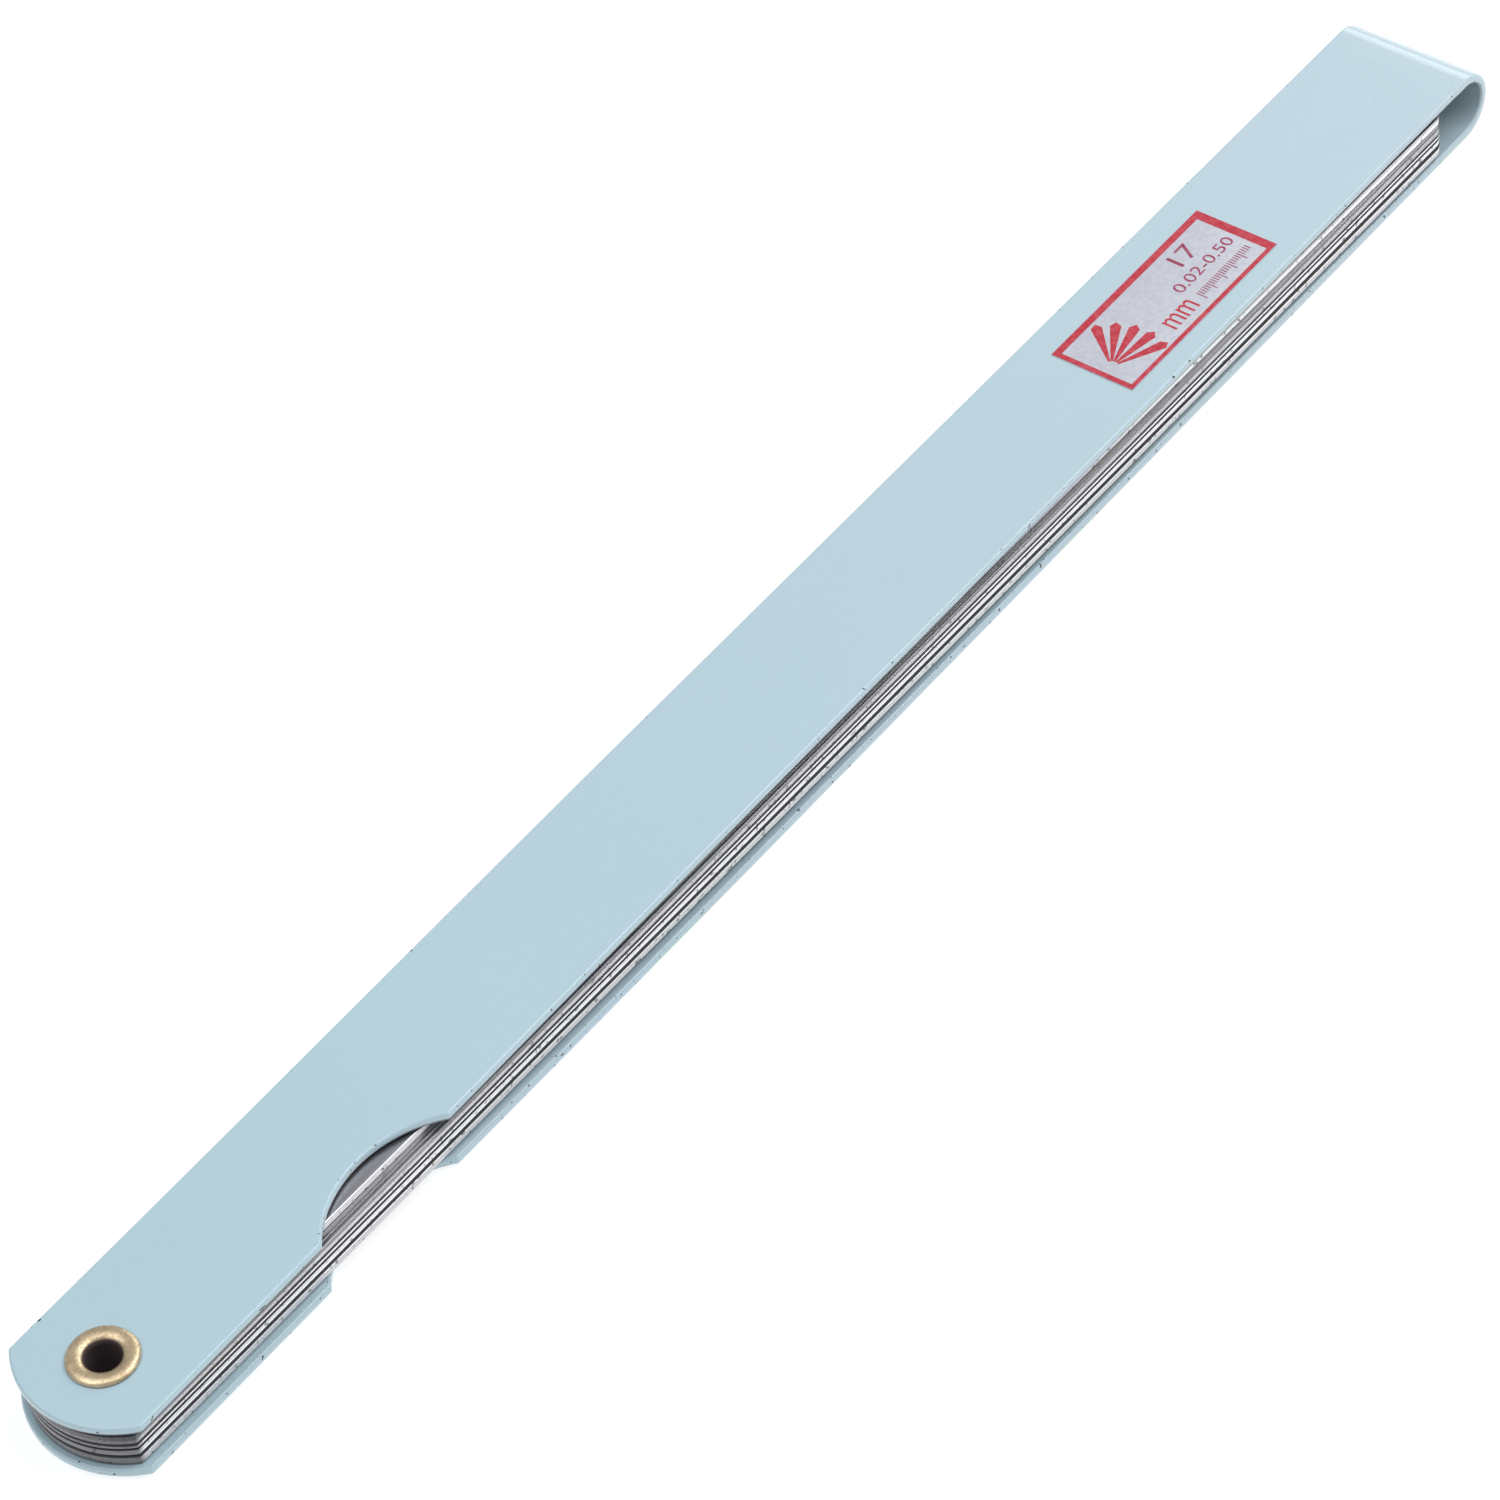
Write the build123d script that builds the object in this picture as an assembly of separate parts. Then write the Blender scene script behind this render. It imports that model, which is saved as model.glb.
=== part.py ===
from build123d import *

import math
import os

# Feeler gauge: a folded steel case, a hollow eyelet and a stack of steel leaves.
# Millimetres. The origin is on the pivot axis, midway between the two covers.
# +X runs from the pivot to the fold, -Y is the side of the thumb notch and +Z is up.

# Case: one steel strip folded into two covers. Its covers and its fold are written as
# separate solids that meet face to face, so that each has a simple outer shape.
CASE_WIDTH = 11.4
SHEET_THICKNESS = 0.7
CASE_HEIGHT = 5.6            # over both covers, where they run parallel
PIVOT_HEIGHT = 4.95          # over both covers, where the eyelet clamps them
FOLD_END_X = 150.7
PIVOT_END_RADIUS = 7.7
PIVOT_END_CENTRE_X = 2.38
CLAMPED_END_X = 5.0          # the covers are flat up to here
PARALLEL_START_X = 65.0      # and spread until here

# Thumb notch, cut into the -Y edge of both covers
NOTCH_START_X = 14.7
NOTCH_END_X = 27.6
NOTCH_DEPTH = 2.5

# Eyelet
EYELET_BORE_RADIUS = 1.33
EYELET_BARREL_RADIUS = 1.63
FLANGE_RADIUS = 2.47
FLANGE_CREST_RADIUS = 1.92
FLANGE_HEIGHT = 0.31         # how far each flange stands off its cover
FLANGE_RIM_HEIGHT = 0.08
ENTRY_DEPTH = 0.5            # the bore is straight below its rounded mouth
COVER_HOLE_CLEARANCE = 0.04
LEAF_HOLE_CLEARANCE = 0.07

# Leaves, from the top cover down. The thick protective leaf is outermost.
THIN_LEAVES = [0.02 + 0.01 * step for step in range(9)]
THICK_LEAVES = [0.15 + 0.05 * step for step in range(7)]
LEAF_THICKNESSES = [0.50, *THIN_LEAVES, *THICK_LEAVES]
LEAF_WIDTH = 10.0
LEAF_TIP_X = 145.1
LEAF_CORNER_RADIUS = 1.2
LEAF_END_INSET = 0.45        # from the case's pivot end to the leaves' pivot end
FAN_MEAN_ANGLE = -0.26       # degrees: the leaves lie a little towards the notch side
FAN_SPREAD_ANGLE = 0.012
FAN_PHASE_STEP = 2.4         # radians from one leaf to the next

# The top leaf and the few thinnest are holed off their middle line, so they start further from
# the notch side at the pivot and come level with the others at the tip.
TOP_LEAF_WIDTH = 9.7
TOP_LEAF_SHIFT_Y = 0.70
TOP_LEAF_FAN_ANGLE = -0.60
SHIFTED_THIN_COUNT = 3
THIN_LEAF_SHIFT_Y = 0.33
THIN_LEAF_FAN_ANGLE = -0.40

# Label on the top cover
LABEL_START_X = 107.0
LABEL_END_X = 125.4
LABEL_LOW_Y = -4.0
LABEL_HIGH_Y = 3.2
LABEL_THICKNESS = 0.06
LABEL_CORNER_RADIUS = 0.15

# Worked-out values
FOLD_START_X = FOLD_END_X - CASE_HEIGHT / 2
UPPER_COVER_Z = PIVOT_HEIGHT / 2
LOWER_COVER_Z = -PIVOT_HEIGHT / 2
STACK_SPACE = PIVOT_HEIGHT - 2 * SHEET_THICKNESS
LEAF_GAP = (STACK_SPACE - sum(LEAF_THICKNESSES)) / (len(LEAF_THICKNESSES) + 1)
COVER_HOLE_RADIUS = EYELET_BARREL_RADIUS + COVER_HOLE_CLEARANCE
LEAF_HOLE_RADIUS = EYELET_BARREL_RADIUS + LEAF_HOLE_CLEARANCE


def rounded_end_outline(width, end_radius, far_x):
    """Closed plan outline: a shallow arc at the pivot end, straight sides, a square far end."""
    half = width / 2
    corner_x = PIVOT_END_CENTRE_X - math.sqrt(end_radius**2 - half**2)
    tip_x = PIVOT_END_CENTRE_X - end_radius
    corner = (corner_x, -half)
    opposite = (corner_x, half)
    return Wire(
        [
            ThreePointArc(opposite, (tip_x, 0), corner).edge(),
            Line(corner, (far_x, -half)).edge(),
            Line((far_x, -half), (far_x, half)).edge(),
            Line((far_x, half), opposite).edge(),
        ]
    )


def cover_line(side, inset, start_x):
    """Side view of one skin of a cover, which is flat at the pivot, then spreads along two arcs."""
    pivot_z = side * (PIVOT_HEIGHT / 2 - inset)
    far_z = side * (CASE_HEIGHT / 2 - inset)
    quarter = (PARALLEL_START_X - CLAMPED_END_X) / 4
    rise = far_z - pivot_z
    first = (CLAMPED_END_X, pivot_z)
    first_bulge = (CLAMPED_END_X + quarter, pivot_z + rise / 8)
    middle = (CLAMPED_END_X + 2 * quarter, pivot_z + rise / 2)
    last_bulge = (CLAMPED_END_X + 3 * quarter, far_z - rise / 8)
    last = (PARALLEL_START_X, far_z)
    return [
        Line((start_x, pivot_z), first).edge(),
        ThreePointArc(first, first_bulge, middle).edge(),
        ThreePointArc(middle, last_bulge, last).edge(),
        Line(last, (FOLD_START_X, far_z)).edge(),
    ]


def hairpin_face(inset):
    """Side view of all that lies within one skin of the folded strip, inset from its outer skin."""
    start_x = -2 * PIVOT_END_RADIUS
    fold_radius = CASE_HEIGHT / 2 - inset
    lower_end = (FOLD_START_X, -fold_radius)
    upper_end = (FOLD_START_X, fold_radius)
    edges = [
        *cover_line(-1, inset, start_x),
        ThreePointArc(lower_end, (FOLD_START_X + fold_radius, 0), upper_end).edge(),
        *cover_line(1, inset, start_x),
        Line((start_x, UPPER_COVER_Z - inset), (start_x, LOWER_COVER_Z + inset)).edge(),
    ]
    return Plane.XZ * Face(Wire(edges))


def thumb_notch():
    """A round cutter that leaves the notch's arc in the -Y edge of both covers."""
    half_chord = (NOTCH_END_X - NOTCH_START_X) / 2
    radius = (half_chord**2 + NOTCH_DEPTH**2) / (2 * NOTCH_DEPTH)
    centre_x = (NOTCH_START_X + NOTCH_END_X) / 2
    centre_y = -CASE_WIDTH / 2 + NOTCH_DEPTH - radius
    return Pos(centre_x, centre_y, 0) * Cylinder(radius, 3 * CASE_HEIGHT)


def pivot_hole(radius):
    """A cutter for a hole on the pivot axis, through everything."""
    return Cylinder(radius, 3 * CASE_HEIGHT)


def folded_strip():
    """The whole steel strip, folded into a hairpin, with its rounded ends, notch and eyelet holes."""
    strip_face = hairpin_face(0) - hairpin_face(SHEET_THICKNESS)
    strip = extrude(strip_face.face(), CASE_WIDTH / 2, both=True)
    outline = rounded_end_outline(CASE_WIDTH, PIVOT_END_RADIUS, FOLD_END_X + CASE_WIDTH)
    plan = extrude(Face(outline), CASE_HEIGHT, both=True)
    return (strip & plan) - thumb_notch() - pivot_hole(COVER_HOLE_RADIUS)


def make_case():
    """The strip's two covers and its fold, by node name."""
    strip = folded_strip()
    fold_start = Plane.YZ.offset(FOLD_START_X)
    covers = split(strip, fold_start, keep=Keep.BOTTOM)
    return {
        "upper_cover": split(covers, Plane.XY, keep=Keep.TOP),
        "lower_cover": split(covers, Plane.XY, keep=Keep.BOTTOM),
        "cover_fold": split(strip, fold_start, keep=Keep.TOP),
    }


def flange_edges(cover_z, outward):
    """Half section of one flange, from the bore, over the crest, to the barrel."""
    crest_z = cover_z + outward * FLANGE_HEIGHT
    mouth_z = crest_z - outward * ENTRY_DEPTH
    rim_z = cover_z + outward * FLANGE_RIM_HEIGHT
    crest = (FLANGE_CREST_RADIUS, crest_z)
    lean = (FLANGE_CREST_RADIUS - EYELET_BORE_RADIUS) * (1 - math.sqrt(0.5))
    drop = ENTRY_DEPTH * (1 - math.sqrt(0.5))
    shoulder = ((FLANGE_CREST_RADIUS + FLANGE_RADIUS) / 2, crest_z - outward * FLANGE_RIM_HEIGHT)
    return [
        ThreePointArc(
            (EYELET_BORE_RADIUS, mouth_z),
            (EYELET_BORE_RADIUS + lean, crest_z - outward * drop),
            crest,
        ).edge(),
        ThreePointArc(crest, shoulder, (FLANGE_RADIUS, rim_z)).edge(),
        Line((FLANGE_RADIUS, rim_z), (FLANGE_RADIUS, cover_z)).edge(),
        Line((FLANGE_RADIUS, cover_z), (EYELET_BARREL_RADIUS, cover_z)).edge(),
    ]


def make_eyelet():
    """Hollow eyelet: a thin barrel with a domed flange rolled over each cover."""
    top_mouth_z = UPPER_COVER_Z + FLANGE_HEIGHT - ENTRY_DEPTH
    bottom_mouth_z = LOWER_COVER_Z - FLANGE_HEIGHT + ENTRY_DEPTH
    bore = Line((EYELET_BORE_RADIUS, bottom_mouth_z), (EYELET_BORE_RADIUS, top_mouth_z)).edge()
    barrel = Line((EYELET_BARREL_RADIUS, UPPER_COVER_Z), (EYELET_BARREL_RADIUS, LOWER_COVER_Z)).edge()
    section = [bore, *flange_edges(UPPER_COVER_Z, 1), barrel, *flange_edges(LOWER_COVER_Z, -1)]
    return revolve(Plane.XZ * Face(Wire(section)), Axis.Z)


def leaf_cut(place):
    """Width, sideways shift and fan angle of the leaf at a place in the stack, 0 being the top."""
    if place == 0:
        return TOP_LEAF_WIDTH, TOP_LEAF_SHIFT_Y, TOP_LEAF_FAN_ANGLE
    if place <= SHIFTED_THIN_COUNT:
        return LEAF_WIDTH, THIN_LEAF_SHIFT_Y, THIN_LEAF_FAN_ANGLE
    return LEAF_WIDTH, 0.0, FAN_MEAN_ANGLE + FAN_SPREAD_ANGLE * math.sin(FAN_PHASE_STEP * place)


def make_leaf(thickness, low_z, place):
    """One flat leaf, rounded like the case at the pivot end, with small corners at its tip."""
    width, shift_y, fan_angle = leaf_cut(place)
    outline = rounded_end_outline(width, PIVOT_END_RADIUS - LEAF_END_INSET, LEAF_TIP_X)
    plan = Face(outline)
    tip_corners = plan.vertices().sort_by(Axis.X)[-2:]
    plan = fillet(tip_corners, LEAF_CORNER_RADIUS)
    leaf = Pos(0, shift_y, low_z) * extrude(plan, thickness)
    return Rot(0, 0, fan_angle) * (leaf - pivot_hole(LEAF_HOLE_RADIUS))


def make_leaves():
    """All leaves by node name, stacked down from the upper cover with an oil film between."""
    leaves = {}
    high_z = UPPER_COVER_Z - SHEET_THICKNESS - LEAF_GAP
    for place, thickness in enumerate(LEAF_THICKNESSES):
        low_z = high_z - thickness
        name = f"leaf_{thickness:.2f}".replace(".", "_")
        leaves[name] = make_leaf(thickness, low_z, place)
        high_z = low_z - LEAF_GAP
    return leaves


def make_label():
    """Thin foil label lying on the upper cover."""
    length = LABEL_END_X - LABEL_START_X
    width = LABEL_HIGH_Y - LABEL_LOW_Y
    centre = Pos((LABEL_START_X + LABEL_END_X) / 2, (LABEL_LOW_Y + LABEL_HIGH_Y) / 2, CASE_HEIGHT / 2)
    return centre * extrude(RectangleRounded(length, width, LABEL_CORNER_RADIUS), LABEL_THICKNESS)


def main():
    """Make every piece and write one STEP file for each."""
    pieces = {**make_case(), "eyelet": make_eyelet(), "label": make_label(), **make_leaves()}
    os.makedirs("parts", exist_ok=True)
    for name, piece in pieces.items():
        export_step(piece, f"parts/{name}.step")
    print(f"{len(pieces)} pieces, gap between leaves {LEAF_GAP:.4f} mm")


if __name__ == "__main__":
    main()
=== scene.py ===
"""Looks of a 17-leaf feeler gauge, built round its CAD frame.

The frame is in metres: the origin is on the pivot axis, midway between the covers, +X runs
to the fold, -Y is the side of the thumb notch and +Z is up.
"""

import logging
import math
from dataclasses import dataclass
from enum import Enum
from typing import Any, Iterable, Sequence

import bmesh
import bpy
from mathutils import Matrix, Vector
from mathutils.geometry import delaunay_2d_cdt

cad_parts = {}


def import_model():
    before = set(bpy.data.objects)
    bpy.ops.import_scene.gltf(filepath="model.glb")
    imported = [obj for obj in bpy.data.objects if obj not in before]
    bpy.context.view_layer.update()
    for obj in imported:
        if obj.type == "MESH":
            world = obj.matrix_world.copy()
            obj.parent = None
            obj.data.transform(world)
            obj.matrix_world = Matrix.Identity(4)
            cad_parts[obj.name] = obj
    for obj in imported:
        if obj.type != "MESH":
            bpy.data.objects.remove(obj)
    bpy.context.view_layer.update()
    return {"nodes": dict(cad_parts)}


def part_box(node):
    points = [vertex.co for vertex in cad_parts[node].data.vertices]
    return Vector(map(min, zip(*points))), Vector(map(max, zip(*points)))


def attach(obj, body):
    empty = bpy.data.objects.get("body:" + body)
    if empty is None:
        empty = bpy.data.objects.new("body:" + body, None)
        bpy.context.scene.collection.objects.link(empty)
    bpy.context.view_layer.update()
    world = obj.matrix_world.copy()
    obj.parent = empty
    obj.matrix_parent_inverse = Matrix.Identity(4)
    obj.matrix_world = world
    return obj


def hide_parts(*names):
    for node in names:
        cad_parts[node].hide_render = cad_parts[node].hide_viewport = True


MM = 0.001
MICRON = 0.000001
HOLDER = "holder"
LOG = logging.getLogger("feeler_gauge")
CREASE_ANGLE = math.radians(50)
WALL_INSET = 2 * MICRON
ROUNDED_SHARE = 0.3
GRID_MARGIN = 0.12 * MM

Colour = tuple[float, float, float, float]
Plan = list[tuple[float, float]]
Socket = bpy.types.NodeSocket
BMVert = bmesh.types.BMVert
Piece = bpy.types.Object
Mesh = bpy.types.Mesh
Material = bpy.types.Material


# ---- node trees


class NodeBuilder:
    """Adds nodes to one node tree and joins them up."""

    def __init__(self, tree: bpy.types.NodeTree) -> None:
        """Starts on a tree.

        Args:
            tree: The node tree that every node goes into.
        """
        self.tree = tree

    def feed(self, socket: Socket, value: Any) -> None:
        """Gives an input either a link or a fixed value.

        Args:
            socket: The input to set.
            value: An output socket to link from, or a plain value.
        """
        if isinstance(value, Socket):
            self.tree.links.new(value, socket)
        else:
            socket.default_value = value

    def add(self, kind: str, inputs: dict[Any, Any] | None = None, **settings: Any) -> bpy.types.Node:
        """Adds one node.

        Args:
            kind: The node's type name.
            inputs: Values or links for its inputs, by input name or number.
            **settings: The node's own properties, set before its inputs.

        Returns:
            The new node.
        """
        node = self.tree.nodes.new(kind)
        for name, value in settings.items():
            setattr(node, name, value)
        for key, value in (inputs or {}).items():
            self.feed(node.inputs[key], value)
        return node

    def math(self, operation: str, *values: Any, clamp: bool = False) -> Socket:
        """Adds one Math node.

        Args:
            operation: The Math node's operation, such as MULTIPLY.
            *values: Its operands, as numbers or links.
            clamp: Whether the result is kept from 0 to 1.

        Returns:
            The result's socket.
        """
        node = self.add("ShaderNodeMath", operation=operation, use_clamp=clamp)
        for socket, value in zip(node.inputs, values):
            self.feed(socket, value)
        return node.outputs[0]

    def times(self, first: Any, second: Any) -> Socket:
        """Returns the product of two numbers or links."""
        return self.math("MULTIPLY", first, second)

    def plus(self, first: Any, second: Any) -> Socket:
        """Returns the sum of two numbers or links."""
        return self.math("ADD", first, second)

    def minus(self, first: Any, second: Any) -> Socket:
        """Returns the first number or link less the second."""
        return self.math("SUBTRACT", first, second)

    def larger(self, first: Any, second: Any) -> Socket:
        """Returns the larger of two numbers or links."""
        return self.math("MAXIMUM", first, second)

    def ease(self, value: Socket, low: Any, high: Any) -> Socket:
        """Returns a smooth 0 to 1 step as value goes from low to high."""
        inputs = {"Value": value, "From Min": low, "From Max": high}
        return self.add("ShaderNodeMapRange", inputs, interpolation_type="SMOOTHSTEP").outputs[0]


class ShaderBuilder(NodeBuilder):
    """Builds one procedural material that reads Object coordinates."""

    def __init__(self, name: str) -> None:
        """Makes the empty material.

        Args:
            name: The material's name.
        """
        self.material = bpy.data.materials.new(name)
        self.material.use_nodes = True
        super().__init__(self.material.node_tree)
        self.tree.nodes.clear()
        self.place = self.add("ShaderNodeTexCoord").outputs["Object"]

    def stretched(self, x: float, y: float, z: float) -> Socket:
        """Returns Object coordinates with each axis scaled."""
        return self.add("ShaderNodeMapping", {"Vector": self.place, "Scale": (x, y, z)}).outputs[0]

    def noise(self, scale: float, detail: float = 2.0, vector: Socket | None = None) -> Socket:
        """Returns a noise value.

        Args:
            scale: Features per metre, or per unit of vector.
            detail: Octaves of finer noise.
            vector: Coordinates to use in place of the Object coordinates.

        Returns:
            The noise factor's socket.
        """
        inputs = {"Vector": vector or self.place, "Scale": scale, "Detail": detail}
        return self.add("ShaderNodeTexNoise", inputs).outputs[0]

    def attribute(self, name: str) -> Socket:
        """Returns the number stored on the mesh under a name."""
        return self.add("ShaderNodeAttribute", attribute_name=name).outputs["Fac"]

    def axis(self, number: int) -> Socket:
        """Returns one of the Object coordinates, X to Z as 0 to 2."""
        return self.add("ShaderNodeSeparateXYZ", {0: self.place}).outputs[number]

    def span(self, value: Socket, low: float, high: float, *to: float) -> Socket:
        """Maps a value in a straight line from one span to another, and keeps it there.

        Args:
            value: The value.
            low: Where it starts.
            high: Where it ends.
            *to: What it starts and ends as; 0 and 1 if left out.

        Returns:
            The mapped value's socket.
        """
        start, end = to or (0.0, 1.0)
        inputs = {"Value": value, "From Min": low, "From Max": high, "To Min": start, "To Max": end}
        return self.add("ShaderNodeMapRange", inputs).outputs[0]

    def blend(self, factor: Any, first: Any, second: Any) -> Socket:
        """Returns the colour part way from first to second."""
        return self.add("ShaderNodeMix", {0: factor, 6: first, 7: second}, data_type="RGBA").outputs[2]

    def bump(self, height: Socket, depth: float, under: Socket | None = None) -> Socket:
        """Returns a normal from a height field.

        Args:
            height: The height field, about 0 to 1.
            depth: The height in metres that 1 stands for.
            under: A normal that this one is laid over.

        Returns:
            The bent normal's socket.
        """
        inputs = {"Height": height, "Distance": depth, "Strength": 1.0}
        if under is not None:
            inputs["Normal"] = under
        return self.add("ShaderNodeBump", inputs).outputs[0]

    def finish(self, **inputs: Any) -> Material:
        """Closes the tree with a Principled shader.

        Args:
            **inputs: The shader's inputs, with underscores for the spaces in their names.

        Returns:
            The finished material.
        """
        named = {key.replace("_", " "): value for key, value in inputs.items()}
        shader = self.add("ShaderNodeBsdfPrincipled", named)
        self.add("ShaderNodeOutputMaterial", {"Surface": shader.outputs[0]})
        return self.material


class GeometryTree(NodeBuilder):
    """Builds one Geometry Nodes tree with named inputs."""

    def __init__(self, name: str) -> None:
        """Makes a tree with a geometry input, a material input and a geometry output.

        Args:
            name: The tree's name.
        """
        super().__init__(bpy.data.node_groups.new(name, "GeometryNodeTree"))
        self.values: dict[str, Any] = {}
        for side, kind in (("INPUT", "Geometry"), ("INPUT", "Material"), ("OUTPUT", "Geometry")):
            self.tree.interface.new_socket(kind, in_out=side, socket_type=f"NodeSocket{kind}")
        self.start = self.tree.nodes.new("NodeGroupInput")
        self.end = self.tree.nodes.new("NodeGroupOutput")
        self.source = self.start.outputs["Geometry"]

    def _given(self, name: str, kind: str, value: float) -> Socket:
        """Adds a named input.

        Args:
            name: The input's name.
            kind: What it takes, Float or Int.
            value: What it is given, unless a piece has its own.

        Returns:
            The input's socket inside the tree.
        """
        self.tree.interface.new_socket(name, in_out="INPUT", socket_type=f"NodeSocket{kind}")
        self.values[name] = value
        return self.start.outputs[name]

    def size(self, name: str, value: float = 0.0) -> Socket:
        """Adds a number input with its value and returns its socket."""
        return self._given(name, "Float", value)

    def count(self, name: str, value: int) -> Socket:
        """Adds a whole-number input with its value and returns its socket."""
        return self._given(name, "Int", value)

    def vector(self, x: Any = 0.0, y: Any = 0.0, z: Any = 0.0) -> Socket:
        """Returns a vector made from three numbers or links."""
        return self.add("ShaderNodeCombineXYZ", {"X": x, "Y": y, "Z": z}).outputs[0]

    def axes(self) -> tuple[Socket, Socket, Socket]:
        """Returns the X, Y and Z of each point."""
        position = self.add("GeometryNodeInputPosition").outputs[0]
        return tuple(self.add("ShaderNodeSeparateXYZ", {0: position}).outputs)

    def move(self, geometry: Socket, x: Any, y: Any, z: Any) -> Socket:
        """Returns the geometry with every point put at x, y, z."""
        inputs = {"Geometry": geometry, "Position": self.vector(x, y, z)}
        return self.add("GeometryNodeSetPosition", inputs).outputs[0]

    def place(self, geometry: Socket, shift: Any, turn: Any = (0.0, 0.0, 0.0)) -> Socket:
        """Returns the geometry turned, then shifted."""
        inputs = {"Geometry": geometry, "Translation": shift, "Rotation": turn}
        return self.add("GeometryNodeTransform", inputs).outputs[0]

    def join(self, *parts: Socket) -> Socket:
        """Joins several geometries.

        Args:
            *parts: The geometries.

        Returns:
            All of them as one.
        """
        node = self.add("GeometryNodeJoinGeometry")
        for part in reversed(parts):
            self.tree.links.new(part, node.inputs[0])
        return node.outputs[0]

    def mark(self, geometry: Socket, name: str, value: Any) -> Socket:
        """Returns the geometry with a number stored on every point under a name."""
        inputs = {"Geometry": geometry, "Name": name, "Value": value}
        return self.add("GeometryNodeStoreNamedAttribute", inputs, domain="POINT").outputs[0]

    def read(self, name: str) -> Socket:
        """Returns the number stored on each point under a name."""
        return self.add("GeometryNodeInputNamedAttribute", {"Name": name}, data_type="FLOAT").outputs[0]

    def weld(self, geometry: Socket) -> Socket:
        """Returns the geometry with points that lie together merged."""
        inputs = {"Geometry": geometry, "Distance": 0.1 * MICRON}
        return self.add("GeometryNodeMergeByDistance", inputs).outputs[0]

    def finish(self, geometry: Socket) -> "GeometryTree":
        """Closes the tree.

        Args:
            geometry: The geometry that the tree gives.

        Returns:
            The tree's own builder, with the values of its inputs.
        """
        whole = self.add("GeometryNodeRealizeInstances", {0: geometry}).outputs[0]
        inputs = {"Geometry": whole, "Material": self.start.outputs["Material"]}
        dressed = self.add("GeometryNodeSetMaterial", inputs).outputs[0]
        self.tree.links.new(dressed, self.end.inputs[0])
        return self

    def thicken(self, thickness: Socket, edge_width: Socket, *depths: Socket) -> Socket:
        """Turns a flat blank into a closed plate with rounded rims.

        Args:
            thickness: The plate's thickness.
            edge_width: How far in from the rim the rounding reaches.
            *depths: How deep the rounding goes at the upper and at the lower rim.

        Returns:
            The plate, with its lower face at Z 0. Its attribute groove is the rounding's depth in
            metres, on the rounding only.
        """
        inputs = {"Mesh": self.source, "Offset Scale": thickness, "Individual": False}
        raised = self.add("GeometryNodeExtrudeMesh", inputs, mode="FACES").outputs[0]
        lower = self.add("GeometryNodeFlipFaces", {0: self.source}).outputs[0]
        plate = self.weld(self.join(raised, lower))
        inset = self.read("inset")
        inward = self.minus(1.0, self.math("DIVIDE", inset, edge_width, clamp=True))
        level = self.math("SQRT", self.minus(1.0, self.times(inward, inward)))
        x, y, z = self.axes()
        side = self.math("SIGN", self.minus(z, self.times(thickness, 0.5)))
        upper = self.times(depths[0], self.math("GREATER_THAN", side, 0.0))
        depth = self.plus(upper, self.times(depths[1], self.math("LESS_THAN", side, 0.0)))
        off_wall = self.math("GREATER_THAN", inset, WALL_INSET)
        rounded = self.times(off_wall, self.math("GREATER_THAN", inward, ROUNDED_SHARE))
        plate = self.mark(plate, "groove", self.times(depth, rounded))
        drop = self.times(depth, self.minus(1.0, level))
        return self.move(plate, x, y, self.minus(z, self.times(side, drop)))


def grow(
    name: str, tree: GeometryTree, source: Mesh, material: Material, own: dict[str, float] | None = None
) -> Piece:
    """Runs a Geometry Nodes tree on a source mesh and keeps the result as a plain mesh.

    Args:
        name: The new object's name.
        tree: The Geometry Nodes tree.
        source: The mesh that the tree starts from.
        material: The material that the tree sets.
        own: Values that this piece has in place of the tree's, by the names of the inputs.

    Returns:
        A new object at the origin, with no modifier.
    """
    values = {"Material": material, **tree.values, **(own or {})}
    host = bpy.data.objects.new(f"{name}_host", source)
    bpy.context.scene.collection.objects.link(host)
    modifier = host.modifiers.new("shape", "NODES")
    modifier.node_group = tree.tree
    for item in tree.tree.interface.items_tree:
        if item.in_out == "INPUT" and item.name in values:
            modifier[item.identifier] = values[item.name]
    mesh = baked(host)
    host.modifiers.remove(modifier)
    bpy.data.objects.remove(host)
    return keep(name, mesh)


def baked(host: Piece) -> Mesh:
    """Evaluates an object.

    Args:
        host: The object, with its modifiers.

    Returns:
        A new mesh that needs neither.
    """
    bpy.context.view_layer.update()
    evaluated = host.evaluated_get(bpy.context.evaluated_depsgraph_get())
    return bpy.data.meshes.new_from_object(evaluated)


def from_bmesh(name: str, shape: bmesh.types.BMesh) -> Mesh:
    """Turns a mesh being built into a finished one.

    Args:
        name: The new mesh's name.
        shape: The mesh being built, which is freed.

    Returns:
        The new mesh.
    """
    mesh = bpy.data.meshes.new(name)
    shape.to_mesh(mesh)
    shape.free()
    return mesh


def keep(name: str, mesh: Mesh) -> Piece:
    """Links a mesh as a new object at the origin, smooth and with its faces outwards.

    Args:
        name: The new object's name.
        mesh: Its mesh, in the frame's coordinates.

    Returns:
        The new object.
    """
    mesh.name = name
    shape = bmesh.new()
    shape.from_mesh(mesh)
    bmesh.ops.recalc_face_normals(shape, faces=shape.faces)
    shape.to_mesh(mesh)
    shape.free()
    mesh.shade_smooth()
    mesh.set_sharp_from_angle(angle=CREASE_ANGLE)
    piece = bpy.data.objects.new(name, mesh)
    bpy.context.scene.collection.objects.link(piece)
    return piece


def settle(piece: Piece, body: str, slot: str, *nodes: str) -> None:
    """Puts a finished piece on its body and reports it.

    Args:
        piece: The piece.
        body: The CAD body that it rides on.
        slot: Not used.
        *nodes: The CAD nodes that it stands for.
    """
    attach(piece, body)
    if nodes:
        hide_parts(*nodes)
    LOG.info("%s on %s: %d faces", piece.name, body, len(piece.data.polygons))


# ---- finishes


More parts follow.
